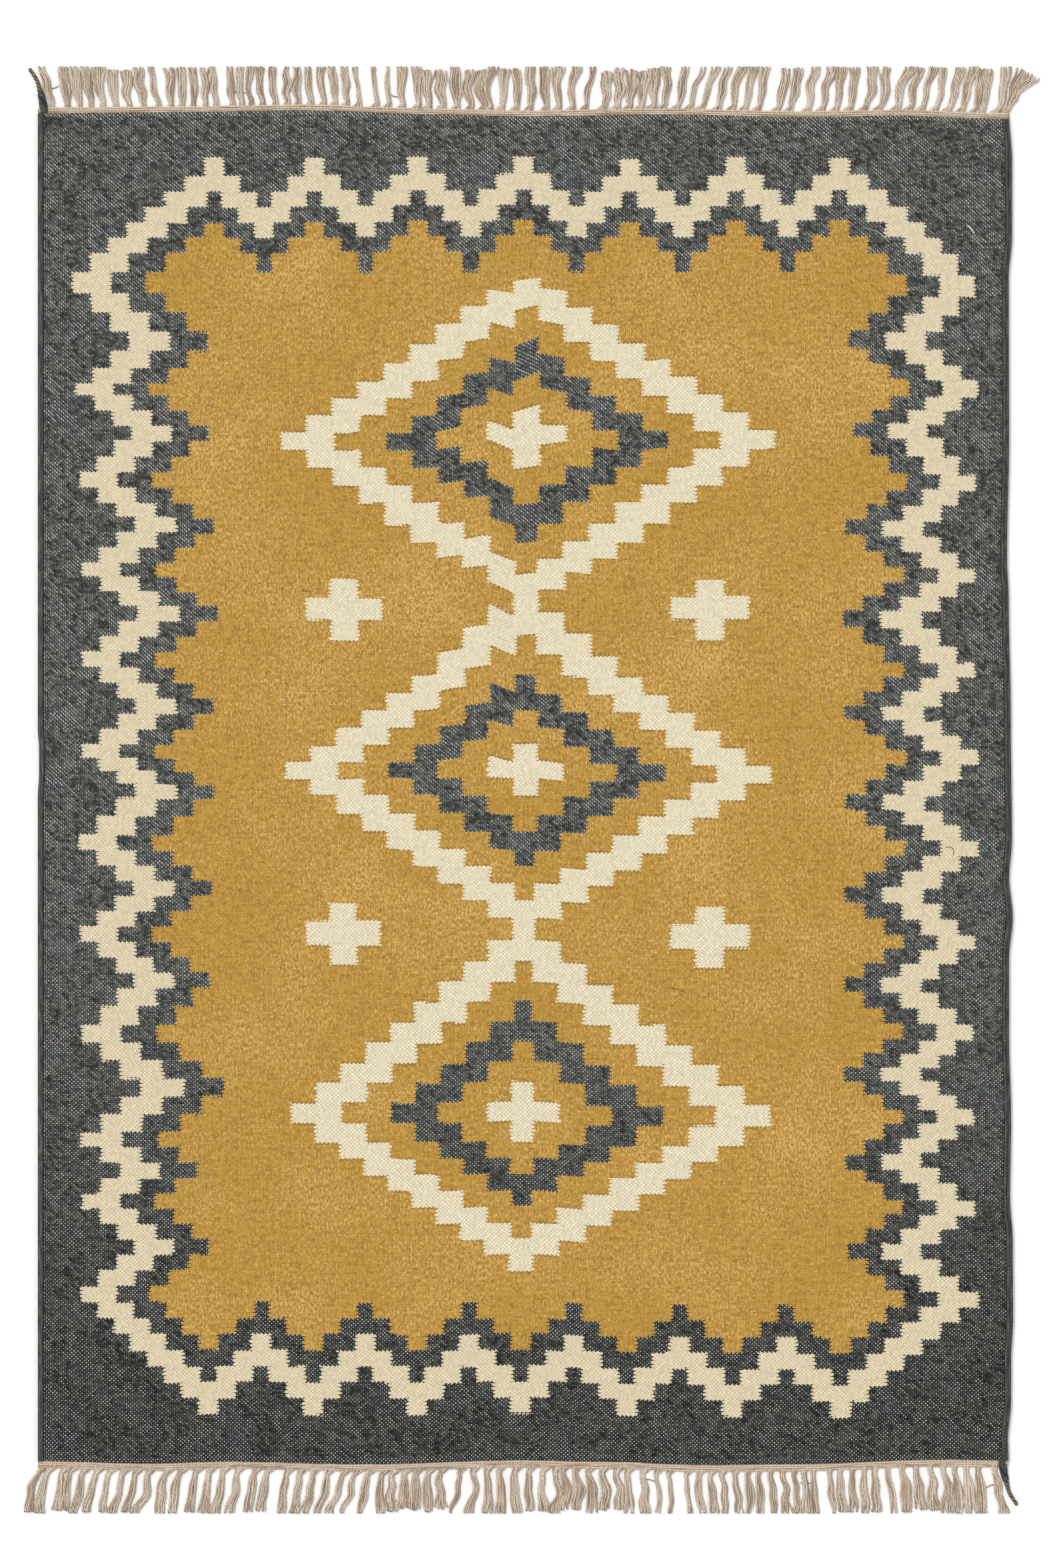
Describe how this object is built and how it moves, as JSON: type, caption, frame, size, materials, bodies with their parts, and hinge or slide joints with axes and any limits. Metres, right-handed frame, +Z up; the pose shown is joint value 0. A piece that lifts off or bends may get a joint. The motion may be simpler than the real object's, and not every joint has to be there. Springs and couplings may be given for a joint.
{
  "type": "flat-woven kilim rug",
  "caption": "Flat-woven area rug with a stepped zigzag border, stepped medallions and small crosses, bound side edges with corner cords, and a jute heading with loose fringe locks at each end.",
  "frame": {"origin": "centre of the rug's outline, on the floor it lies on", "axes": "+Y along the rug's length towards the end with the splayed corner lock, +X across its width, +Z up from the floor"},
  "size_m": [1.2518, 1.788, 0.0065],
  "materials": {
    "woven_ground": "coarse flat weave in mustard, charcoal and cream",
    "bound_edge": "overcast charcoal yarn",
    "jute_yarn": "plied natural jute yarn"
  },
  "bodies": {
    "root": {"woven_ground": "woven_ground", "selvedge_left": "bound_edge", "selvedge_right": "bound_edge", "fringe_top": "jute_yarn", "fringe_bottom": "jute_yarn"}
  },
  "joints": []
}
